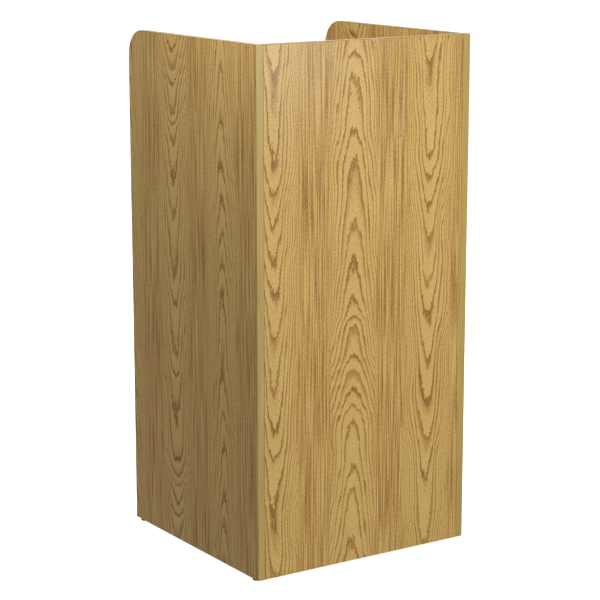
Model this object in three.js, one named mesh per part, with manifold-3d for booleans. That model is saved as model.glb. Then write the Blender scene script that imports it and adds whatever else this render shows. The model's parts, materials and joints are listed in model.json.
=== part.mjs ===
// A stand-up lectern: a knock-down cabinet of oak laminated board, open on the speaker's side.
// Two side panels carry a full-height front panel, a slanted reading top with a paper stop,
// an adjustable shelf on four pins, a bottom shelf and a toe rail. Cam fittings and dowels
// join the boards, plastic strip covers their exposed edges, and nail-on glides are the feet.
//
// Millimetres, +Z up. The origin is on the floor under the middle of the lectern.
// The audience stands on the -Y side and the speaker on the +Y side; +X is to the right
// of someone who looks at the front panel.

import * as THREE from "three";
import { mergeVertices } from "three/addons/utils/BufferGeometryUtils.js";
import Module from "manifold-3d";

const wasm = await Module();
wasm.setup();

// ---------------------------------------------------------------- driving dimensions

const WIDTH = 512; // over the two side panels
const DEPTH = 498; // over the edge bands of a side panel
const HEIGHT = 1067; // floor to the top of the panels
const BOARD = 16; // laminated board
const CORNER_RADIUS = 54; // rear top corner of a side panel
const BAND = 1; // edge band thickness
const BAND_ROUND = 0.7; // rounding of a band's long edges
const GLUE_LINE = 0.2; // between a board's raw edge and its band
const END_GAP = 0.3; // between the end of a cross board and a side panel

const GLIDE_HEIGHT = 5;
const GLIDE_RADIUS = 7.5;
const GLIDE_INSET = 21; // glide centre to the front or rear edge

const READING_SLOPE = THREE.MathUtils.degToRad(12);
const READING_DROP = 30; // panel top to the reading surface, at the front panel
const READING_END_Y = 215; // rear end of the reading surface
const STOP_RISE = 20; // paper stop above the reading surface

const SHELF_REAR_Y = 232; // rear edge of both shelves, band included
const SHELF_FRONT_Y = -228; // front edge of the adjustable shelf
const SHELF_SIDE_GAP = 1;
const SHELF_PIN_Z = 500; // pin holes in use
const BOTTOM_SHELF_Z = 75; // its underside
const TOE_RAIL_SETBACK = 30; // behind the edge of the bottom shelf

const PIN_HOLE_PITCH = 32;
const PIN_HOLES_EACH_WAY = 3; // above and below the hole in use
const PIN_HOLE_INSET = 37; // pin row to the front panel, and to the rear edge

const CAM_DISTANCE = 24; // cam centre to the end of its board
const CAM_RADIUS = 7.25;
const CAM_HEIGHT = 12.4;
const CAM_BORE_RADIUS = 7.5;
const CAM_BORE_DEPTH = 12.7;
const CAM_RECESS = 0.15; // cam face below the board's face
const CAM_TRAVEL = 170; // degrees from locked to open
const BOLT_THREAD = 11; // length in the side panel
const BOLT_HOLE_RADIUS = 3.3;
const BOLT_TUNNEL_RADIUS = 4;

const DOWEL_RADIUS = 3.8;
const DOWEL_HOLE_RADIUS = 4;
const DOWEL_LENGTH = 30;
const DOWEL_IN_SIDE = 11.5; // the rest is in the end of the cross board

// ---------------------------------------------------------------- derived places

const HALF_INSIDE = WIDTH / 2 - BOARD;
const FRONT_Y = -DEPTH / 2;
const REAR_Y = DEPTH / 2;
const FRONT_INSIDE_Y = FRONT_Y + BOARD;
const CROSS_LENGTH = 2 * (HALF_INSIDE - END_GAP);
const BAND_ZONE = BAND + GLUE_LINE; // what a band and its glue take off the board
const X = new THREE.Vector3(1, 0, 0);
const Y = new THREE.Vector3(0, 1, 0);
const Z = new THREE.Vector3(0, 0, 1);

// The reading surface starts at the front panel and falls along downhill; uphill is its normal.
const readingStart = new THREE.Vector3(0, FRONT_INSIDE_Y + END_GAP, HEIGHT - READING_DROP);
const downhill = new THREE.Vector3(0, Math.cos(READING_SLOPE), -Math.sin(READING_SLOPE));
const readingNormal = new THREE.Vector3(0, Math.sin(READING_SLOPE), Math.cos(READING_SLOPE));
const readingLength = (READING_END_Y - readingStart.y) / Math.cos(READING_SLOPE);

function onReadingTop(along, above) {
  return readingStart.clone().addScaledVector(downhill, along).addScaledVector(readingNormal, above);
}

// Every cam fitting, as its place on a side panel and the way the cam's face looks.
const fittings = [
  ...[120, 560, 960].map((z) => ({
    board: "front_panel",
    at: new THREE.Vector3(0, FRONT_Y + BOARD / 2, z),
    face: Y,
  })),
  ...[90, 370].map((along) => ({
    board: "reading_top",
    at: onReadingTop(along, -BOARD / 2),
    face: readingNormal.clone().negate(),
  })),
  ...[-170, 150].map((y) => ({
    board: "bottom_shelf",
    at: new THREE.Vector3(0, y, BOTTOM_SHELF_Z + BOARD / 2),
    face: Z.clone().negate(),
  })),
];

// The toe rail is held by dowels alone.
const toeRailY = SHELF_REAR_Y - TOE_RAIL_SETBACK - BOARD / 2;
const dowelPlaces = [25, 55].map((z) => new THREE.Vector3(0, toeRailY, z));

const pinRows = [FRONT_INSIDE_Y + PIN_HOLE_INSET, REAR_Y - PIN_HOLE_INSET];
const sides = [
  { name: "left", sign: -1 },
  { name: "right", sign: 1 },
];
const glideRows = [
  { name: "front", y: FRONT_Y + GLIDE_INSET },
  { name: "rear", y: REAR_Y - GLIDE_INSET },
];

// ---------------------------------------------------------------- finishes

const finishes = {
  oakLaminate: { color: 0xc49f62, roughness: 0.5, metalness: 0 },
  edgeBand: { color: 0xc8ab70, roughness: 0.45, metalness: 0 },
  zinc: { color: 0xa9abad, roughness: 0.4, metalness: 0.9 },
  steel: { color: 0xb9b9b4, roughness: 0.35, metalness: 0.95 },
  beech: { color: 0xd9b98a, roughness: 0.7, metalness: 0 },
  glidePlastic: { color: 0x3a2a20, roughness: 0.5, metalness: 0 },
};

function piece(name, geometry, finish) {
  const mesh = new THREE.Mesh(geometry, new THREE.MeshStandardMaterial(finishes[finish]));
  mesh.name = name;
  return mesh;
}

// ---------------------------------------------------------------- solid helpers

// A closed three.js geometry as a solid that can be joined and cut.
function toSolid(geometry) {
  const bare = geometry.index ? geometry.toNonIndexed() : geometry.clone();
  bare.deleteAttribute("normal");
  bare.deleteAttribute("uv");
  const merged = mergeVertices(bare, 1e-4);
  const corners = merged.index.array;
  const kept = [];
  for (let i = 0; i < corners.length; i += 3) {
    const [a, b, c] = [corners[i], corners[i + 1], corners[i + 2]];
    if (a !== b && b !== c && a !== c) kept.push(a, b, c);
  }
  return new wasm.Manifold(
    new wasm.Mesh({
      numProp: 3,
      vertProperties: merged.attributes.position.array,
      triVerts: new Uint32Array(kept),
    }),
  );
}

function toGeometry(solid) {
  const mesh = solid.getMesh();
  const geometry = new THREE.BufferGeometry();
  geometry.setAttribute("position", new THREE.BufferAttribute(mesh.vertProperties, 3));
  geometry.setIndex(new THREE.BufferAttribute(mesh.triVerts, 1));
  geometry.computeVertexNormals();
  return geometry;
}

function cut(geometry, tools) {
  return toGeometry(tools.reduce((left, tool) => left.subtract(toSolid(tool)), toSolid(geometry)));
}

function join(geometries) {
  return toGeometry(geometries.map(toSolid).reduce((all, next) => all.add(next)));
}

// A box given by its lowest and highest corners.
function boxBetween(low, high) {
  const size = high.map((value, axis) => value - low[axis]);
  const centre = high.map((value, axis) => (value + low[axis]) / 2);
  return new THREE.BoxGeometry(...size).translate(...centre);
}

// A cylinder that starts at a point and runs along a direction.
function rod(radius, length, start, direction, segments) {
  const turn = new THREE.Quaternion().setFromUnitVectors(Y, direction);
  return new THREE.CylinderGeometry(radius, radius, length, segments)
    .translate(0, length / 2, 0)
    .applyQuaternion(turn)
    .translate(start.x, start.y, start.z);
}

// A solid of revolution about Z, from [radius, height] pairs that start and end on the axis.
function turned(profile, segments) {
  const points = profile.map(([radius, height]) => new THREE.Vector2(radius, height));
  return toGeometry(toSolid(new THREE.LatheGeometry(points, segments).rotateX(Math.PI / 2)));
}

// A closed outline in the YZ plane, drawn as (y, z), made into a board that is centred on X = 0.
function boardAcross(outline, width, extra = {}) {
  const inset = extra.bevelEnabled ? extra.bevelThickness : 0;
  return new THREE.ExtrudeGeometry(outline, { depth: width - 2 * inset, bevelEnabled: false, ...extra })
    .translate(0, 0, inset - width / 2)
    .applyMatrix4(new THREE.Matrix4().makeBasis(Y, Z, X));
}

function outlineOf(points) {
  return new THREE.Shape(points.map(([y, z]) => new THREE.Vector2(y, z)));
}

// The crossed slots of a screwdriver recess, cut down from z = 0.
function crossRecess(span, slot, depth) {
  const sink = 1; // the tools reach this far above the face, so that they leave it open
  return [
    boxBetween([-span / 2, -slot / 2, -depth], [span / 2, slot / 2, sink]),
    boxBetween([-slot / 2, -span / 2, -depth], [slot / 2, span / 2, sink]),
  ];
}

// ---------------------------------------------------------------- boards

// The outline of a side panel, pulled in by an amount on its front, top and rear.
function sideOutline(pull, bottom) {
  const front = FRONT_Y + pull;
  const rear = REAR_Y - pull;
  const top = HEIGHT - pull;
  const radius = CORNER_RADIUS - pull;
  const outline = new THREE.Shape();
  outline.moveTo(front, bottom);
  outline.lineTo(rear, bottom);
  outline.lineTo(rear, top - radius);
  outline.absarc(rear - radius, top - radius, radius, 0, Math.PI / 2, false);
  outline.lineTo(front, top);
  return outline;
}

const CORNER_STEPS = 14;

function sidePanel({ sign }) {
  const inside = -sign * (BOARD / 2); // the inner face, in the board's own frame
  const inward = X.clone().multiplyScalar(-sign);
  const outward = X.clone().multiplyScalar(sign);
  const hole = (radius, depth, y, z, segments) =>
    rod(radius, depth + 1, new THREE.Vector3(inside, y, z).add(inward), outward, segments);
  const holes = [];
  for (const { at } of fittings) holes.push(hole(BOLT_HOLE_RADIUS, BOLT_THREAD + 0.5, at.y, at.z, 8));
  for (const at of dowelPlaces) holes.push(hole(DOWEL_HOLE_RADIUS, DOWEL_IN_SIDE + 0.5, at.y, at.z, 12));
  for (const y of pinRows)
    for (let step = -PIN_HOLES_EACH_WAY; step <= PIN_HOLES_EACH_WAY; step++)
      holes.push(hole(PIN_HOLE_RADIUS, PIN_STEM + 1, y, SHELF_PIN_Z + step * PIN_HOLE_PITCH, 12));
  for (const { y } of glideRows)
    holes.push(rod(NAIL_RADIUS + 0.25, NAIL_LENGTH + 2, new THREE.Vector3(0, y, GLIDE_HEIGHT - 1), Z, 8));
  const outline = sideOutline(BAND_ZONE, GLIDE_HEIGHT);
  return cut(boardAcross(outline, BOARD, { curveSegments: CORNER_STEPS }), holes);
}

// The band that runs up the rear edge, round the corner and along the top of a side panel.
function sideRearBand() {
  const skin = boardAcross(sideOutline(BAND_ROUND, GLIDE_HEIGHT + BAND_ROUND), BOARD, {
    curveSegments: CORNER_STEPS,
    bevelEnabled: true,
    bevelThickness: BAND_ROUND,
    bevelSize: BAND_ROUND,
    bevelSegments: 2,
  });
  const core = sideOutline(BAND, -BAND);
  return cut(skin, [
    boardAcross(core, 2 * BOARD, { curveSegments: CORNER_STEPS }),
    boxBetween([-BOARD, FRONT_Y - BAND, 0], [BOARD, FRONT_Y + BAND_ZONE, HEIGHT + BAND]),
  ]);
}

// A straight edge band on a board's edge: length along X, the rounded side towards -Y.
function straightBand(length, width = BOARD) {
  const half = width / 2;
  const section = new THREE.Shape();
  section.moveTo(BAND, -half);
  section.lineTo(BAND, half);
  section.lineTo(BAND_ROUND, half);
  section.absarc(BAND_ROUND, half - BAND_ROUND, BAND_ROUND, Math.PI / 2, Math.PI, false);
  section.absarc(BAND_ROUND, BAND_ROUND - half, BAND_ROUND, Math.PI, 1.5 * Math.PI, false);
  return boardAcross(section, length, { curveSegments: 3 });
}

// Cam bores and bolt tunnels in both ends of a cross board, in the part's frame.
function camHoles(board) {
  const end = HALF_INSIDE - END_GAP;
  const holes = [];
  for (const { sign } of sides) {
    const inward = X.clone().multiplyScalar(-sign);
    for (const { at, face } of fittings.filter((fitting) => fitting.board === board)) {
      holes.push(rod(BOLT_TUNNEL_RADIUS, CAM_DISTANCE + 1, at.clone().setX(sign * (end + 1)), inward, 8));
      const mouth = at.clone().setX(sign * (end - CAM_DISTANCE)).addScaledVector(face, BOARD / 2 + 1);
      holes.push(rod(CAM_BORE_RADIUS, CAM_BORE_DEPTH + 1, mouth, face.clone().negate(), 24));
    }
  }
  return holes;
}

function frontPanel() {
  const board = boxBetween(
    [-CROSS_LENGTH / 2, FRONT_Y, GLIDE_HEIGHT],
    [CROSS_LENGTH / 2, FRONT_INSIDE_Y, HEIGHT - BAND_ZONE],
  );
  return cut(board, camHoles("front_panel"));
}

// The front end of the reading top is cut plumb against the front panel; its rear end is square.
function readingTop() {
  const under = BOARD / Math.cos(READING_SLOPE);
  const rearTop = onReadingTop(readingLength, 0);
  const rearUnder = onReadingTop(readingLength, -BOARD);
  const outline = outlineOf([
    [readingStart.y, readingStart.z],
    [readingStart.y, readingStart.z - under],
    [rearUnder.y, rearUnder.z],
    [rearTop.y, rearTop.z],
  ]);
  const pilots = stopScrewPlaces.map((x) =>
    rod(
      SCREW_SHANK + 0.25,
      24,
      onReadingTop(readingLength + 1, -BOARD / 2).setX(x),
      downhill.clone().negate(),
      8,
    ),
  );
  return cut(boardAcross(outline, CROSS_LENGTH), [...camHoles("reading_top"), ...pilots]);
}

// The paper stop stands across the rear end of the reading top. Its own frame has the
// thickness along Y, from the reading top outwards, and the height along Z, from the reading surface.
const STOP_GAP = 0.3;
function paperStop() {
  const board = boxBetween(
    [-CROSS_LENGTH / 2, STOP_GAP, -BOARD],
    [CROSS_LENGTH / 2, STOP_GAP + BOARD, STOP_RISE - BAND_ZONE],
  );
  const holes = stopScrewPlaces.flatMap((x) => {
    const face = new THREE.Vector3(x, STOP_GAP + BOARD, -BOARD / 2);
    const head = new THREE.CylinderGeometry(SCREW_HEAD + 0.9, SCREW_SHANK + 0.3, SCREW_HEAD_DEPTH + 0.9, 16)
      .translate(0, -(SCREW_HEAD_DEPTH + 0.9) / 2 + 0.3, 0)
      .translate(face.x, face.y, face.z);
    return [head, rod(SCREW_SHANK + 0.3, BOARD + 2, face.clone().setY(-1), Y, 12)];
  });
  return cut(board, holes);
}

function adjustableShelf() {
  return boxBetween(
    [SHELF_SIDE_GAP - HALF_INSIDE, SHELF_FRONT_Y, 0],
    [HALF_INSIDE - SHELF_SIDE_GAP, SHELF_REAR_Y - BAND_ZONE, BOARD],
  );
}

function bottomShelf() {
  const board = boxBetween(
    [-CROSS_LENGTH / 2, FRONT_INSIDE_Y + END_GAP, BOTTOM_SHELF_Z],
    [CROSS_LENGTH / 2, SHELF_REAR_Y - BAND_ZONE, BOTTOM_SHELF_Z + BOARD],
  );
  return cut(board, camHoles("bottom_shelf"));
}

function toeRail() {
  const board = boxBetween(
    [-CROSS_LENGTH / 2, toeRailY - BOARD / 2, GLIDE_HEIGHT],
    [CROSS_LENGTH / 2, toeRailY + BOARD / 2, BOTTOM_SHELF_Z - END_GAP],
  );
  const depth = DOWEL_LENGTH - DOWEL_IN_SIDE + 1.5;
  const holes = sides.flatMap(({ sign }) =>
    dowelPlaces.map((at) =>
      rod(
        DOWEL_HOLE_RADIUS,
        depth + 1,
        at.clone().setX(sign * (CROSS_LENGTH / 2 + 1)),
        X.clone().multiplyScalar(-sign),
        12,
      ),
    ),
  );
  return cut(board, holes);
}

// ---------------------------------------------------------------- hardware

const NAIL_RADIUS = 1.1;
const NAIL_LENGTH = 16;

// A nail-on glide: a domed plastic button on a nail. Its origin is on the underside of the panel.
function glide() {
  const flat = 4.5; // radius of the foot that touches the floor
  const rim = 2; // straight wall under the panel
  const dome = [];
  for (let step = 0; step <= 3; step++) {
    const angle = ((step / 3) * Math.PI) / 2;
    dome.push([
      flat + (GLIDE_RADIUS - flat) * Math.cos(angle),
      -rim - (GLIDE_HEIGHT - rim) * Math.sin(angle),
    ]);
  }
  const nail = [
    [NAIL_RADIUS, 0],
    [NAIL_RADIUS, NAIL_LENGTH - 2],
    [0, NAIL_LENGTH],
  ];
  return turned([[0, -GLIDE_HEIGHT], ...dome.reverse(), [GLIDE_RADIUS, 0], ...nail], 20);
}

const PIN_STEM = 9;
const PIN_STEM_RADIUS = 2.35;
const PIN_HOLE_RADIUS = 2.5;
const PIN_COLLAR_RADIUS = 3.8;
const PIN_COLLAR = 1.2;
const PIN_SPOON = 14; // reach of the spoon under the shelf

// A spoon shelf pin: the stem points to -X into the panel, and the spoon reaches +X under the
// shelf. Its top is level with the collar's.
function shelfPin() {
  const along = X.clone();
  const stem = rod(PIN_STEM_RADIUS, PIN_STEM + PIN_COLLAR / 2, new THREE.Vector3(-PIN_STEM, 0, 0), along, 12);
  const collar = rod(PIN_COLLAR_RADIUS, PIN_COLLAR, new THREE.Vector3(0, 0, 0), along, 16);
  const halfWidth = 4.5;
  const spoonOutline = new THREE.Shape();
  spoonOutline.moveTo(PIN_COLLAR / 2, -halfWidth * 0.6);
  spoonOutline.lineTo(PIN_SPOON - halfWidth, -halfWidth);
  spoonOutline.absarc(PIN_SPOON - halfWidth, 0, halfWidth, -Math.PI / 2, Math.PI / 2, false);
  spoonOutline.lineTo(PIN_COLLAR / 2, halfWidth * 0.6);
  const thickness = 2;
  const spoon = new THREE.ExtrudeGeometry(spoonOutline, {
    depth: thickness,
    bevelEnabled: false,
    curveSegments: 6,
  }).translate(0, 0, PIN_COLLAR_RADIUS - thickness);
  const rib = new THREE.ExtrudeGeometry(
    new THREE.Shape([
      new THREE.Vector2(PIN_COLLAR / 2, -2.4),
      new THREE.Vector2(PIN_SPOON - 3, PIN_COLLAR_RADIUS - 1),
      new THREE.Vector2(PIN_COLLAR / 2, PIN_COLLAR_RADIUS - 1),
    ]),
    { depth: 1.6, bevelEnabled: false },
  )
    .rotateX(Math.PI / 2)
    .translate(0, 0.8, 0);
  return join([stem, collar, spoon, rib]);
}

// A cam lock: a disc that turns about Z with its visible face at z = 0. The bolt comes in along
// +X. A slot round the wall holds the bolt's neck from the locked place to the entry, which is
// CAM_TRAVEL round and wide enough for the bolt's head.
const CAM_CAVITY_RADIUS = 5.6;
const CAM_ROOF = 4.1;
function camLock() {
  const boltZ = CAM_RECESS - BOARD / 2;
  const slotHalf = 2.6;
  const below = -CAM_HEIGHT - 1;
  const degrees = THREE.MathUtils.degToRad;
  const sector = (from, to, low, high) => {
    const reach = CAM_RADIUS + 2;
    const wedge = new THREE.Shape();
    wedge.moveTo(0, 0);
    wedge.lineTo(reach * Math.cos(degrees(from)), reach * Math.sin(degrees(from)));
    wedge.absarc(0, 0, reach, degrees(from), degrees(to), false);
    const options = { depth: high - low, bevelEnabled: false, curveSegments: 7 };
    return new THREE.ExtrudeGeometry(wedge, options).translate(0, 0, low);
  };
  const entryHalf = 34; // degrees, for the head
  const slotPast = 26; // degrees, for half the neck
  const arrow = new THREE.ExtrudeGeometry(
    new THREE.Shape([new THREE.Vector2(6.6, 0), new THREE.Vector2(4.8, 1.1), new THREE.Vector2(4.8, -1.1)]),
    { depth: 1.4, bevelEnabled: false },
  )
    .translate(0, 0, -0.4)
    .rotateZ(degrees(-CAM_TRAVEL));
  return cut(rod(CAM_RADIUS, CAM_HEIGHT, new THREE.Vector3(0, 0, -CAM_HEIGHT), Z, 24), [
    rod(CAM_CAVITY_RADIUS, CAM_HEIGHT - CAM_ROOF + 1, new THREE.Vector3(0, 0, below), Z, 16),
    sector(-CAM_TRAVEL, slotPast, boltZ - slotHalf, boltZ + slotHalf),
    sector(-CAM_TRAVEL - entryHalf, entryHalf - CAM_TRAVEL, below, -CAM_ROOF),
    ...crossRecess(6.4, 1.3, 2.4),
    arrow,
  ]);
}

// A cam bolt: it screws into the side panel below z = 0 and reaches up to the cam.
function camBolt() {
  const thread = [];
  const ridges = 3;
  const pitch = BOLT_THREAD / ridges;
  for (let ridge = 0; ridge < ridges; ridge++) {
    const low = ridge * pitch - BOLT_THREAD;
    thread.push([2.3, low], [2.95, low + pitch / 2]);
  }
  const centre = CAM_DISTANCE + END_GAP; // of the cam, from the side panel's face
  const headFace = centre - 4.2;
  const shankEnd = centre - CAM_RADIUS - 1;
  return turned(
    [
      [0, -BOLT_THREAD],
      ...thread,
      [2.3, 0],
      [3.6, 0.01],
      [3.6, 1.5],
      [3, 2.2],
      [3, shankEnd],
      [2.2, shankEnd + 0.8],
      [2.2, headFace - 0.6],
      [3.5, headFace],
      [3.5, headFace + 1.4],
      [2.2, headFace + 2.6],
      [0, headFace + 2.6],
    ],
    8,
  );
}

function dowel() {
  const chamfer = 1;
  const half = DOWEL_LENGTH / 2;
  return turned(
    [
      [0, -half],
      [DOWEL_RADIUS - chamfer, -half],
      [DOWEL_RADIUS, chamfer - half],
      [DOWEL_RADIUS, half - chamfer],
      [DOWEL_RADIUS - chamfer, half],
      [0, half],
    ],
    12,
  );
}

const SCREW_HEAD = 3.6;
const SCREW_HEAD_DEPTH = 2.4;
const SCREW_SHANK = 1.9;
const stopScrewPlaces = [-180, 0, 180];

// A countersunk wood screw with a cross recess, its head's face at z = 0 and its point below.
function stopScrew() {
  const length = 35;
  const grip = 13; // plain shank under the head
  const ridges = 4;
  const pitch = (length - 4 - grip) / ridges;
  const thread = [];
  for (let ridge = 0; ridge < ridges; ridge++) {
    const low = ridge * pitch + 4 - length;
    thread.push([1.35, low], [SCREW_SHANK, low + pitch / 2]);
  }
  const head = [
    [1.5, -grip],
    [1.5, -SCREW_HEAD_DEPTH - 0.3],
    [SCREW_HEAD, -0.3],
    [SCREW_HEAD, 0],
    [0, 0],
  ];
  const blank = turned([[0, -length], ...thread, ...head], 12);
  return cut(blank, crossRecess(4, 0.9, 1.6));
}

// ---------------------------------------------------------------- assembly

const lectern = new THREE.Group();

function add(name, geometry, finish, position = [0, 0, 0]) {
  const mesh = piece(name, geometry, finish);
  mesh.position.set(...position);
  lectern.add(mesh);
  return mesh;
}

// Side panels with their bands and glides.
for (const side of sides) {
  const group = new THREE.Group();
  group.position.x = side.sign * (HALF_INSIDE + BOARD / 2);
  group.add(piece(side.name + "_side_panel", sidePanel(side), "oakLaminate"));
  group.add(piece(side.name + "_rear_edge_band", sideRearBand(), "edgeBand"));
  const frontBand = piece(side.name + "_front_edge_band", straightBand(HEIGHT - GLIDE_HEIGHT), "edgeBand");
  frontBand.rotation.y = Math.PI / 2;
  frontBand.position.set(0, FRONT_Y, (HEIGHT + GLIDE_HEIGHT) / 2);
  group.add(frontBand);
  for (const row of glideRows) {
    const foot = piece(row.name + "_" + side.name + "_glide", glide(), "glidePlastic");
    foot.position.set(0, row.y, GLIDE_HEIGHT);
    group.add(foot);
  }
  lectern.add(group);
}

// Boards between the side panels.
add("front_panel", frontPanel(), "oakLaminate");
const frontTopBand = add("front_panel_top_band", straightBand(CROSS_LENGTH), "edgeBand");
frontTopBand.rotation.x = -Math.PI / 2;
frontTopBand.position.set(0, FRONT_Y + BOARD / 2, HEIGHT);
add("reading_top", readingTop(), "oakLaminate");
add("bottom_shelf", bottomShelf(), "oakLaminate");
add("toe_rail", toeRail(), "oakLaminate");
const bottomBand = add("bottom_shelf_edge_band", straightBand(CROSS_LENGTH), "edgeBand");
bottomBand.rotation.z = Math.PI;
bottomBand.position.set(0, SHELF_REAR_Y, BOTTOM_SHELF_Z + BOARD / 2);

// The paper stop, its band and its screws, in a group that leans with the reading top.
const stop = new THREE.Group();
stop.position.copy(onReadingTop(readingLength, 0));
stop.rotation.x = -READING_SLOPE;
stop.add(piece("paper_stop", paperStop(), "oakLaminate"));
const stopBand = piece("paper_stop_top_band", straightBand(CROSS_LENGTH), "edgeBand");
stopBand.rotation.x = -Math.PI / 2;
stopBand.position.set(0, STOP_GAP + BOARD / 2, STOP_RISE);
stop.add(stopBand);
stopScrewPlaces.forEach((x, index) => {
  const screw = piece("paper_stop_screw_" + (index + 1), stopScrew(), "steel");
  screw.rotation.x = -Math.PI / 2;
  screw.position.set(x, STOP_GAP + BOARD, -BOARD / 2);
  stop.add(screw);
});
lectern.add(stop);

// The adjustable shelf rests on its four pins.
const SHELF_REST_GAP = 0.2;
const shelf = new THREE.Group();
shelf.position.z = SHELF_PIN_Z + PIN_COLLAR_RADIUS + SHELF_REST_GAP;
shelf.add(piece("adjustable_shelf", adjustableShelf(), "oakLaminate"));
const shelfLength = 2 * (HALF_INSIDE - SHELF_SIDE_GAP);
const shelfBand = piece("adjustable_shelf_edge_band", straightBand(shelfLength), "edgeBand");
shelfBand.rotation.z = Math.PI;
shelfBand.position.set(0, SHELF_REAR_Y, BOARD / 2);
shelf.add(shelfBand);
lectern.add(shelf);

for (const { name, sign } of sides)
  pinRows.forEach((y, row) => {
    const pin = add(["front", "rear"][row] + "_" + name + "_shelf_pin", shelfPin(), "steel");
    pin.rotation.z = sign > 0 ? Math.PI : 0;
    pin.position.set(sign * HALF_INSIDE, y, SHELF_PIN_Z);
  });

// A cam and its bolt at each end of each fitting place.
for (const { name, sign } of sides) {
  const counts = {};
  const outward = X.clone().multiplyScalar(sign);
  for (const { board, at, face } of fittings) {
    counts[board] = (counts[board] ?? 0) + 1;
    const label = (kind) => [board, kind, name, counts[board]].join("_");
    const cam = add(label("cam"), camLock(), "zinc");
    const across = new THREE.Vector3().crossVectors(face, outward);
    cam.setRotationFromMatrix(new THREE.Matrix4().makeBasis(outward, across, face));
    cam.position
      .copy(at)
      .setX(sign * (HALF_INSIDE - END_GAP - CAM_DISTANCE))
      .addScaledVector(face, BOARD / 2 - CAM_RECESS);
    const bolt = add(label("bolt"), camBolt(), "steel");
    bolt.quaternion.setFromUnitVectors(Z, outward.clone().negate());
    bolt.position.copy(at).setX(sign * HALF_INSIDE);
  }
}

// Dowels in the ends of the toe rail.
for (const { name, sign } of sides)
  dowelPlaces.forEach((at, index) => {
    const peg = add("toe_rail_dowel_" + name + "_" + (index + 1), dowel(), "beech");
    peg.rotation.y = Math.PI / 2;
    peg.position.copy(at).setX(sign * (HALF_INSIDE + DOWEL_IN_SIDE - DOWEL_LENGTH / 2));
  });

export default lectern;
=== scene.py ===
"""Looks of the stand-up lectern: its camera and studio, and a procedural material for each board,
edge band and fitting. Metres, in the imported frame: +Z up, -Y to the audience, +Y to the speaker."""

import json
import math

import bpy
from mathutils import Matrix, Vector


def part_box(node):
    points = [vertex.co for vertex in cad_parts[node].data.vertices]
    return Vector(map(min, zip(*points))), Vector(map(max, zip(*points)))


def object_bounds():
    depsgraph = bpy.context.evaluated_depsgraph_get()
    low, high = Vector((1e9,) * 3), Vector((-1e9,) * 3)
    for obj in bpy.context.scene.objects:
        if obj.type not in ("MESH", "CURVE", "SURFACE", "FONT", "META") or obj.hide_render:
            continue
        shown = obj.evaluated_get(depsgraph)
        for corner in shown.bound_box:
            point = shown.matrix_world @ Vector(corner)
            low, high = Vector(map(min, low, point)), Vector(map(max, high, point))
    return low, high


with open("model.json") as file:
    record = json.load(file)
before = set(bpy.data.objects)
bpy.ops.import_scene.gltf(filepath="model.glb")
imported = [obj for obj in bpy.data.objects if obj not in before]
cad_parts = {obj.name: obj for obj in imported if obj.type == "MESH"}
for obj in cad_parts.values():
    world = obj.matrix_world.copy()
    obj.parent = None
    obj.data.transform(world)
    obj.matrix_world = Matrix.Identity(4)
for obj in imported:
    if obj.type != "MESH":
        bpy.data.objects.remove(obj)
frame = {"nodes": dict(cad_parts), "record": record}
cad_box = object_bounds()
nodes = frame["nodes"]
TOP = cad_box[1].z
LEFT = cad_box[0].x
REAR = cad_box[1].y

MM = 0.001


# ---------------------------------------------------------------- node maths


class Signal:
    """One output socket, which combines with numbers and other signals by +, -, * and /."""

    def __init__(self, tree, socket):
        self.tree = tree
        self.socket = socket

    def math(self, operation, *others):
        node = self.tree.nodes.new("ShaderNodeMath")
        node.operation = operation
        for slot, value in zip(node.inputs, (self, *others)):
            connect(self.tree, value, slot)
        return Signal(self.tree, node.outputs[0])

    def __add__(self, other):
        return self.math("ADD", other)

    def __sub__(self, other):
        return self.math("SUBTRACT", other)

    def __mul__(self, other):
        return self.math("MULTIPLY", other)

    def __truediv__(self, other):
        return self.math("DIVIDE", other)

    def __radd__(self, other):
        return self + other

    def __rmul__(self, other):
        return self * other

    def __rsub__(self, other):
        return self * -1.0 + other

    def rises(self, low, high, to_low=0.0, to_high=1.0):
        """A smooth step from to_low, at or under low, to to_high, at or over high."""
        node = self.tree.nodes.new("ShaderNodeMapRange")
        node.interpolation_type = "SMOOTHSTEP"
        for slot, value in zip(node.inputs, (self, low, high, to_low, to_high)):
            connect(self.tree, value, slot)
        return Signal(self.tree, node.outputs[0])


def connect(tree, value, slot):
    if isinstance(value, Signal):
        tree.links.new(value.socket, slot)
    else:
        slot.default_value = value


def vector(tree, x, y, z):
    node = tree.nodes.new("ShaderNodeCombineXYZ")
    for slot, value in zip(node.inputs, (x, y, z)):
        connect(tree, value, slot)
    return Signal(tree, node.outputs[0])


def noise(tree, place, detail=2.0, roughness=0.5, distortion=0.0):
    """Noise from 0 to 1 whose features are about one unit of place across."""
    node = tree.nodes.new("ShaderNodeTexNoise")
    connect(tree, place, node.inputs["Vector"])
    node.inputs["Scale"].default_value = 1.0
    node.inputs["Detail"].default_value = detail
    node.inputs["Roughness"].default_value = roughness
    node.inputs["Distortion"].default_value = distortion
    return Signal(tree, node.outputs["Fac"])


def colour_ramp(tree, factor, stops):
    node = tree.nodes.new("ShaderNodeValToRGB")
    ramp = node.color_ramp
    ramp.elements[0].position, ramp.elements[0].color = stops[0][0], (*stops[0][1], 1.0)
    ramp.elements[1].position, ramp.elements[1].color = stops[-1][0], (*stops[-1][1], 1.0)
    for position, colour in stops[1:-1]:
        ramp.elements.new(position).color = (*colour, 1.0)
    connect(tree, factor, node.inputs[0])
    return Signal(tree, node.outputs["Color"])


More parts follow.
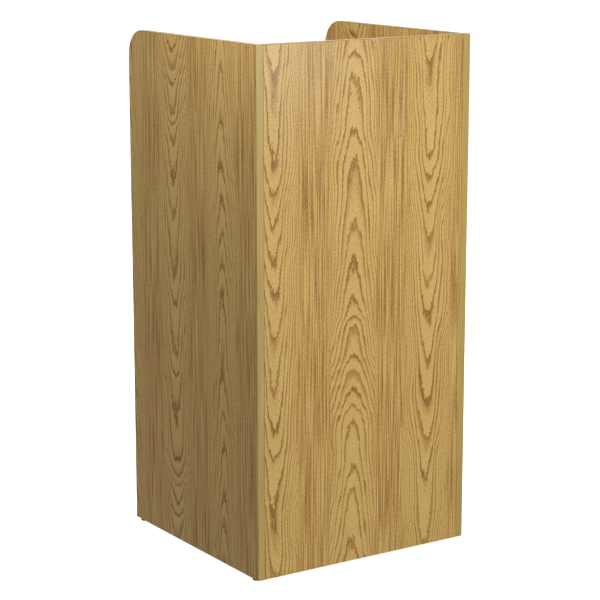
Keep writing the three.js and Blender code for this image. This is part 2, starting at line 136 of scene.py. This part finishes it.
def mix(tree, factor, first, second, kind="FLOAT"):
    """first where factor is 0 and second where it is 1. kind RGBA mixes colours."""
    node = tree.nodes.new("ShaderNodeMix")
    node.data_type = kind
    connect(tree, factor, node.inputs["Factor"])
    wanted = "VALUE" if kind == "FLOAT" else kind
    ends = [slot for slot in node.inputs if slot.name in "AB" and slot.type == wanted]
    connect(tree, first, ends[0])
    connect(tree, second, ends[1])
    return Signal(tree, next(slot for slot in node.outputs if slot.type == wanted))


def srgb(red, green, blue):
    """A display colour from 0 to 255 as linear light."""
    display = (value / 255 for value in (red, green, blue))
    return tuple(c / 12.92 if c <= 0.04045 else ((c + 0.055) / 1.055) ** 2.4 for c in display)


def object_place(tree):
    """The point's place in the row frame, as three signals. It moves with the piece."""
    coordinates = tree.nodes.new("ShaderNodeTexCoord")
    parts = tree.nodes.new("ShaderNodeSeparateXYZ")
    tree.links.new(coordinates.outputs["Object"], parts.inputs[0])
    return [Signal(tree, socket) for socket in parts.outputs]


def new_material(name):
    """A material with its node tree and its Principled BSDF."""
    material = bpy.data.materials.new(name)
    material.use_nodes = True
    tree = material.node_tree
    tree.nodes.clear()
    shader = tree.nodes.new("ShaderNodeBsdfPrincipled")
    output = tree.nodes.new("ShaderNodeOutputMaterial")
    tree.links.new(shader.outputs[0], output.inputs["Surface"])
    return material, tree, shader


def set_colour(tree, shader, factor, stops):
    connect(tree, colour_ramp(tree, factor, stops), shader.inputs["Base Color"])


def bump(tree, shader, height, distance, strength=1.0):
    node = tree.nodes.new("ShaderNodeBump")
    node.inputs["Distance"].default_value = distance
    node.inputs["Strength"].default_value = strength
    connect(tree, height, node.inputs["Height"])
    tree.links.new(node.outputs[0], shader.inputs["Normal"])


# ---------------------------------------------------------------- the oak print of the laminate

COLUMN = 187.5 * MM  # between neighbouring cathedral columns, which point down and up by turns
RING = 3.3 * MM  # between growth lines far from a column's middle
HEART_DEPTH = 42 * MM  # how far under the surface a column's heart lies: it rounds the cathedral points
PRINT_START = -0.34  # the print's heights count down, in metres, from the front panel's top
PRINT_LENGTH = 1.42
DOWN_POINTS = (  # heights of the points in the columns that point down
    -0.259, -0.199, -0.104, -0.026, 0.05, 0.225, 0.283, 0.34,
    0.407, 0.487, 0.56, 0.66, 0.745, 0.817, 0.905, 1.05,
)
UP_POINTS = (  # and in the columns that point up
    -0.285, -0.261, -0.219, -0.196, -0.167, -0.108, 0.013, 0.057,
    0.165, 0.228, 0.335, 0.43, 0.507, 0.547, 0.567, 0.627,
    0.655, 0.69, 0.73, 0.762, 0.86, 0.91, 1.013,
)
WANDER = 16 * MM  # how far a column strays from side to side


def ring_count(tree, along, points):
    """How many cathedral points lie above this height on a column's middle."""
    node = tree.nodes.new("ShaderNodeFloatCurve")
    curve = node.mapping.curves[0]
    ends = [PRINT_START, *points, PRINT_START + PRINT_LENGTH]
    for index, height in enumerate(ends):
        place = ((height - PRINT_START) / PRINT_LENGTH, index / (len(ends) - 1))
        if index in (0, len(ends) - 1):
            curve.points[0 if index == 0 else -1].location = place
        else:
            curve.points.new(*place)
    node.mapping.update()
    connect(tree, (along - PRINT_START) / PRINT_LENGTH, node.inputs["Value"])
    return Signal(tree, node.outputs[0]) * float(len(ends) - 1)


def chance(tree, value):
    """A number from 0 to 1 drawn for each value."""
    node = tree.nodes.new("ShaderNodeTexWhiteNoise")
    node.noise_dimensions = "1D"
    connect(tree, value, node.inputs["W"])
    return Signal(tree, node.outputs["Value"])


def growth_lines(tree, rings, seed):
    """Dark just past each whole ring, then a fill towards the next one that is stronger in some rings."""
    part = rings.math("FRACT")
    ring = rings.math("FLOOR") + seed
    line = part.rises(0.16, 0.38, 1.0, 0.0) * (chance(tree, ring) * 0.4 + 0.7)
    fill = part.rises(0.2, 0.75, 1.0, 0.0) * (chance(tree, ring + 0.5).rises(0.6, 1.0) * 0.5 + 0.08)
    return part.rises(0.0, 0.06) * line.math("MAXIMUM", fill)


def oak_print_group():
    """Node group: from a place on the print to its grain, slow shade and pores, each about 0 to 1."""
    tree = bpy.data.node_groups.new("oak_print", "ShaderNodeTree")
    for name in ("Across", "Along", "Sheet"):
        tree.interface.new_socket(name, in_out="INPUT", socket_type="NodeSocketFloat")
    for name in ("Grain", "Shade", "Pores"):
        tree.interface.new_socket(name, in_out="OUTPUT", socket_type="NodeSocketFloat")
    entry = tree.nodes.new("NodeGroupInput")
    across, along, sheet = (Signal(tree, entry.outputs[i]) for i in range(3))

    def blotches(wide, tall, shift, detail=2.0, roughness=0.5):
        """Noise with features of this many millimetres. Each shift gives another pattern."""
        place = vector(tree, across / (wide * MM), along / (tall * MM), sheet + shift)
        return noise(tree, place, detail, roughness)

    # Each column wanders a little from side to side on its way down, and swells and narrows.
    bent = across + (blotches(220, 240, 0.0, 1.0) - 0.5) * WANDER
    column = (bent / COLUMN + 0.5).math("FLOOR")
    points_up = column.math("PINGPONG", 1.0).rises(0.4, 0.6)
    from_middle = bent - column * COLUMN
    off_middle = from_middle * (blotches(300, 170, 9.0, 1.0) * 0.7 + 0.52) * (1.0 - points_up * 0.24)

    # Streaks along the grain tear the lines where they cross it at a cathedral's point.
    at_point = off_middle.math("ABSOLUTE").rises(9 * MM, 24 * MM, 1.0, 0.25)
    lean = (blotches(34, 130, 1.0) - 0.5) * (at_point * 0.5 + 0.6)
    tear = (blotches(7, 26, 2.0) - 0.5) * 0.55 + (blotches(2.4, 10, 3.0) - 0.5) * 0.45
    uneven = (blotches(11, 500, 11.0, 1.0) - 0.5) * (1.0 - at_point) * 2.0
    wander = lean + tear * at_point + uneven
    side = ((off_middle * off_middle + HEART_DEPTH**2).math("SQRT") - HEART_DEPTH) / RING
    down = ring_count(tree, along, DOWN_POINTS) + side + wander
    up = ring_count(tree, along, UP_POINTS) - side + wander
    cathedral = mix(tree, points_up, growth_lines(tree, down, column), growth_lines(tree, up, column))
    cathedral = cathedral * off_middle.math("ABSOLUTE").rises(14 * MM, 40 * MM, 0.92, 0.7)

    # Beside the cathedrals the grain runs straight.
    away = from_middle.math("ABSOLUTE") + (blotches(12, 120, 4.0) - 0.5) * (30 * MM)
    beside = away.rises(46 * MM, 66 * MM)
    fine_lines = blotches(2.3, 200, 5.0, 1.0).rises(0.45, 0.57) * (blotches(4, 36, 12.0) + 0.5)
    broad_lines = blotches(9, 220, 6.0, 2.0).rises(0.5, 0.75)
    straight = fine_lines * 0.7 + broad_lines * 0.08
    flecks = blotches(2.2, 8, 10.0, 2.0, 0.7) * 1.3 + 0.35
    grain = mix(tree, beside, cathedral, straight) * flecks

    pores = blotches(1.5, 4, 7.0, 3.0, 0.75).rises(0.42, 0.68)
    patches = blotches(26, 200, 8.0) + beside * 0.1

    leave = tree.nodes.new("NodeGroupOutput")
    for index, value in enumerate((grain, patches, pores)):
        connect(tree, value, leave.inputs[index])
    return tree


OAK_PRINT = oak_print_group()
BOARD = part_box("left_side_panel")[1].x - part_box("left_side_panel")[0].x
SKIN = 0.35 * MM  # laminate, with the softened arris

OAK_LIGHT = srgb(214, 182, 112)
OAK_MIDDLE = srgb(184, 144, 76)
OAK_DARK = srgb(128, 80, 36)
CHIPBOARD_LIGHT = srgb(190, 160, 115)
CHIPBOARD_DARK = srgb(110, 82, 52)


def oak_material(name, across, along, through, middle, sheet):
    """Printed laminate on a chipboard core. across and along give the print's place from x, y and z;
    through is the direction across the board's thickness and middle its middle along it."""
    material, tree, shader = new_material(name)
    place = object_place(tree)
    group = tree.nodes.new("ShaderNodeGroup")
    group.node_tree = OAK_PRINT
    connect(tree, across(*place), group.inputs["Across"])
    connect(tree, along(*place), group.inputs["Along"])
    group.inputs["Sheet"].default_value = sheet
    grain, shade, pores = (Signal(tree, socket) for socket in group.outputs)

    tone = grain * 0.7 + (shade - 0.5) * 0.2 + pores * 0.46
    printed = colour_ramp(tree, tone, ((0.0, OAK_LIGHT), (0.38, OAK_MIDDLE), (1.0, OAK_DARK)))

    # The core shows where the surface is deeper than the skin: on raw ends and in bored holes.
    depth = place[0] * through[0] + place[1] * through[1] + place[2] * through[2] - middle
    core = depth.math("ABSOLUTE").rises(BOARD / 2 - SKIN, BOARD / 2 - SKIN - 0.05 * MM)
    chips = noise(
        tree,
        vector(tree, place[0] / (2.2 * MM), place[1] / (2.2 * MM), place[2] / (2.2 * MM)),
        detail=3.0,
        roughness=0.7,
        distortion=0.8,
    )
    chipboard = colour_ramp(tree, chips, ((0.3, CHIPBOARD_DARK), (0.62, CHIPBOARD_LIGHT)))
    connect(tree, mix(tree, core, printed, chipboard, "RGBA"), shader.inputs["Base Color"])
    connect(tree, (pores * 0.1 + core * 0.4 + 0.3).math("MINIMUM", 0.9), shader.inputs["Roughness"])
    shader.inputs["Specular IOR Level"].default_value = 0.27
    height = (1.0 - pores) * 0.5 + (1.0 - grain) * 0.35 + chips * core * 3.0
    bump(tree, shader, height, 0.05 * MM, 0.6)
    return material


def set_material(node, material):
    data = nodes[node].data
    data.materials.clear()
    data.materials.append(material)


FRONT_EDGE_TO_POINT = 39 * MM  # left edge of the front to its first cathedral column
SIDE_SHEET_TURN = 0.732  # the sides are cut with the sheet upside down, from this height on it
READING_SLOPE = math.radians(12)


def middle_of(node, axis):
    low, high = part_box(node)
    return (low[axis] + high[axis]) / 2


def along_side(x, y, z):
    return z - TOP + SIDE_SHEET_TURN


def board_materials():
    """One material for each board. Its two lambdas give the print's place across and along the grain."""
    slope = (0, math.sin(READING_SLOPE), math.cos(READING_SLOPE))
    reading_low, reading_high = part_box("reading_top")
    reading_middle = reading_low.y * slope[1] + reading_high.z * slope[2] - BOARD / 2
    stop_through = (0, math.cos(READING_SLOPE), -math.sin(READING_SLOPE))
    stop_low, stop_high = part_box("paper_stop")
    stop_middle = (stop_low + stop_high) / 2
    stop_depth = stop_middle.y * stop_through[1] + stop_middle.z * stop_through[2]
    from_left = LEFT + FRONT_EDGE_TO_POINT
    # Node, print across, print along, direction through the board, its middle along that, and the
    # sheet of print. The numbers added to x, y and z pick the stretch of print that the board shows.
    boards = (
        ("front_panel", lambda x, y, z: x - from_left, lambda x, y, z: TOP - z,
         (0, 1, 0), middle_of("front_panel", 1), 0.0),
        ("left_side_panel", lambda x, y, z: y - REAR + 0.368, along_side,
         (1, 0, 0), middle_of("left_side_panel", 0), 0.0),
        ("right_side_panel", lambda x, y, z: y - REAR + 0.30, along_side,
         (1, 0, 0), middle_of("right_side_panel", 0), 4.0),
        ("adjustable_shelf", lambda x, y, z: y + 0.06, lambda x, y, z: x + 0.4,
         (0, 0, 1), middle_of("adjustable_shelf", 2), 10.0),
        ("bottom_shelf", lambda x, y, z: y + 0.13, lambda x, y, z: x + 0.7,
         (0, 0, 1), middle_of("bottom_shelf", 2), 11.0),
        ("reading_top", lambda x, y, z: y + 0.02, lambda x, y, z: x + 0.5,
         slope, reading_middle, 20.0),
        ("paper_stop", lambda x, y, z: z + 0.1, lambda x, y, z: x + 0.6,
         stop_through, stop_depth, 30.0),
        ("toe_rail", lambda x, y, z: z + 0.12, lambda x, y, z: x + 0.5,
         (0, 1, 0), middle_of("toe_rail", 1), 40.0),
    )
    for node, across, along, through, middle, sheet in boards:
        set_material(node, oak_material("oak_" + node, across, along, through, middle, sheet))


# ---------------------------------------------------------------- edge bands

BAND_LIGHT = srgb(190, 162, 88)
BAND_DARK = srgb(163, 132, 66)


def band_material(name, along_axis):
    """Plain plastic strip in an oak colour, with fine streaks along its length."""
    material, tree, shader = new_material(name)
    place = object_place(tree)
    scale = [1 / (1.1 * MM)] * 3
    scale[along_axis] = 1 / 0.12
    streaks = noise(tree, vector(tree, *(p * s for p, s in zip(place, scale))), detail=2.0, roughness=0.6)
    set_colour(tree, shader, streaks, ((0.25, BAND_DARK), (0.7, BAND_LIGHT)))
    shader.inputs["Roughness"].default_value = 0.42
    bump(tree, shader, streaks, 0.03 * MM, 0.5)
    return material


def band_materials():
    upright = band_material("band_upright", 2)
    level = band_material("band_level", 0)
    for node in nodes:
        if node.endswith("_band"):
            set_material(node, upright if "front_edge" in node or "rear_edge" in node else level)


# ---------------------------------------------------------------- fittings

ZINC = (0.55, 0.56, 0.57)  # linear
STEEL = (0.72, 0.72, 0.7)
GLIDE_DARK = srgb(48, 34, 28)
GLIDE_LIGHT = srgb(66, 48, 40)
BEECH_DARK = srgb(186, 146, 100)
BEECH_LIGHT = srgb(214, 180, 136)


def metal_material(name, colour, roughness, grain):
    material, tree, shader = new_material(name)
    place = object_place(tree)
    mottle = noise(tree, vector(tree, *(p / grain for p in place)), detail=3.0, roughness=0.6)
    dark = tuple(c * 0.75 for c in colour)
    set_colour(tree, shader, mottle, ((0.3, dark), (0.7, colour)))
    shader.inputs["Metallic"].default_value = 1.0
    connect(tree, mottle * 0.2 + (roughness - 0.1), shader.inputs["Roughness"])
    bump(tree, shader, mottle, 0.05 * MM, 0.4)
    return material


def plastic_material():
    material, tree, shader = new_material("glide_plastic")
    place = object_place(tree)
    mottle = noise(tree, vector(tree, *(p / (0.8 * MM) for p in place)), detail=3.0)
    set_colour(tree, shader, mottle, ((0.3, GLIDE_DARK), (0.7, GLIDE_LIGHT)))
    shader.inputs["Roughness"].default_value = 0.45
    bump(tree, shader, mottle, 0.03 * MM, 0.4)
    return material


def fitting_materials():
    zinc = metal_material("zinc_casting", ZINC, 0.42, 0.9 * MM)
    steel = metal_material("plated_steel", STEEL, 0.3, 0.5 * MM)
    beech, tree, shader = new_material("beech")
    place = object_place(tree)
    flecks = noise(tree, vector(tree, place[0] / (6 * MM), place[1] / (0.7 * MM), place[2] / (0.7 * MM)))
    set_colour(tree, shader, flecks, ((0.35, BEECH_DARK), (0.6, BEECH_LIGHT)))
    shader.inputs["Roughness"].default_value = 0.65
    plastic = plastic_material()
    finish_of = {"zinc": zinc, "steel": steel, "beech": beech, "glide_plastic": plastic}
    for part in frame["record"]["subparts"]:
        if part["material_slot"] in finish_of:
            set_material(part["node"], finish_of[part["material_slot"]])


# ---------------------------------------------------------------- softened edges


def soften(node, width, segments=2):
    modifier = nodes[node].modifiers.new("softened_edges", "BEVEL")
    modifier.width = width
    modifier.segments = segments
    modifier.limit_method = "ANGLE"
    modifier.angle_limit = math.radians(35)
    modifier.use_clamp_overlap = True


SOFTENED = {"oak_laminate": 0.25 * MM, "zinc": 0.25 * MM, "steel": 0.15 * MM, "glide_plastic": 0.4 * MM}


def soften_parts():
    for part in frame["record"]["subparts"]:
        if part["material_slot"] in SOFTENED:
            soften(part["node"], SOFTENED[part["material_slot"]])


# ---------------------------------------------------------------- studio


def aim(item, target):
    item.rotation_mode = "QUATERNION"
    item.rotation_quaternion = (Vector(target) - item.location).to_track_quat("-Z", "Y")


def add_camera():
    data = bpy.data.cameras.new("camera")
    camera = bpy.data.objects.new("camera", data)
    bpy.context.scene.collection.objects.link(camera)
    turn = math.radians(33.56)
    down = math.radians(11.92)
    distance = 4.195
    target = Vector((0.003, -0.008, 0.5043))
    back = Vector((-math.sin(turn) * math.cos(down), -math.cos(turn) * math.cos(down), math.sin(down)))
    camera.location = target + back * distance
    aim(camera, target)
    data.sensor_width = 36
    data.lens = 119.5
    data.clip_start = 0.05
    data.clip_end = 100
    bpy.context.scene.camera = camera


def add_area(name, place, target, size, watts, shines=True):
    """A soft rectangular light. One that doesn't shine fills shadows without a highlight."""
    data = bpy.data.lights.new(name, "AREA")
    data.shape = "RECTANGLE"
    data.size, data.size_y = size
    data.energy = watts
    light = bpy.data.objects.new(name, data)
    bpy.context.scene.collection.objects.link(light)
    light.location = place
    light.visible_glossy = shines
    aim(light, target)


def add_lights():
    large = (1.6, 1.6)
    middle = (0, 0, 0.6)
    add_area("key", (0.3, -3.8, 0.6), middle, large, watts=58)
    add_area("upper_left", (-0.65, -0.3, 1.55), (0.1, 0, 1.0), (0.4, 0.4), watts=4)
    add_area("right", (3.4, 0.9, 1.6), middle, large, watts=55, shines=False)
    add_area("behind", (-0.7, 3.6, 1.7), middle, large, watts=70, shines=False)
    add_area("top_edges", (1.5, 2.2, 1.55), (0, 0, 1.06), (1.6, 0.8), watts=8)
    add_area("sheen", (0.4, -1.25, 1.0), (-0.2, -0.25, 1.05), (0.25, 0.25), watts=3.2)
    add_area("inside", (-0.15, 0.15, 1.45), (0.25, 0, 1.0), (0.2, 0.2), watts=0.5)


def add_world():
    world = bpy.data.worlds.new("studio")
    bpy.context.scene.world = world
    world.use_nodes = True
    background = world.node_tree.nodes["Background"]
    background.inputs["Color"].default_value = (1, 1, 1, 1)
    background.inputs["Strength"].default_value = 0.33
    bpy.context.scene.view_settings.view_transform = "Standard"


def studio_white():
    material, tree, shader = new_material("studio_white")
    shader.inputs["Base Color"].default_value = (0.9, 0.9, 0.9, 1)
    shader.inputs["Roughness"].default_value = 0.8
    shader.inputs["Specular IOR Level"].default_value = 0.0
    shader.inputs["Emission Color"].default_value = (1, 1, 1, 1)
    shader.inputs["Emission Strength"].default_value = 0.9
    return material


def set_surroundings(item, name, material):
    """The white surroundings are seen, but only the lights and the world light the lectern."""
    item.name = name
    item.data.materials.append(material)
    item.visible_diffuse = False
    item.visible_glossy = False
    item.visible_shadow = False


def add_surroundings():
    white = studio_white()
    bpy.ops.mesh.primitive_plane_add(size=24)
    set_surroundings(bpy.context.object, "floor", white)
    bpy.ops.mesh.primitive_uv_sphere_add(radius=11.9, segments=64, ring_count=32)
    set_surroundings(bpy.context.object, "backdrop", white)


board_materials()
band_materials()
fitting_materials()
soften_parts()
add_camera()
add_world()
add_lights()
add_surroundings()
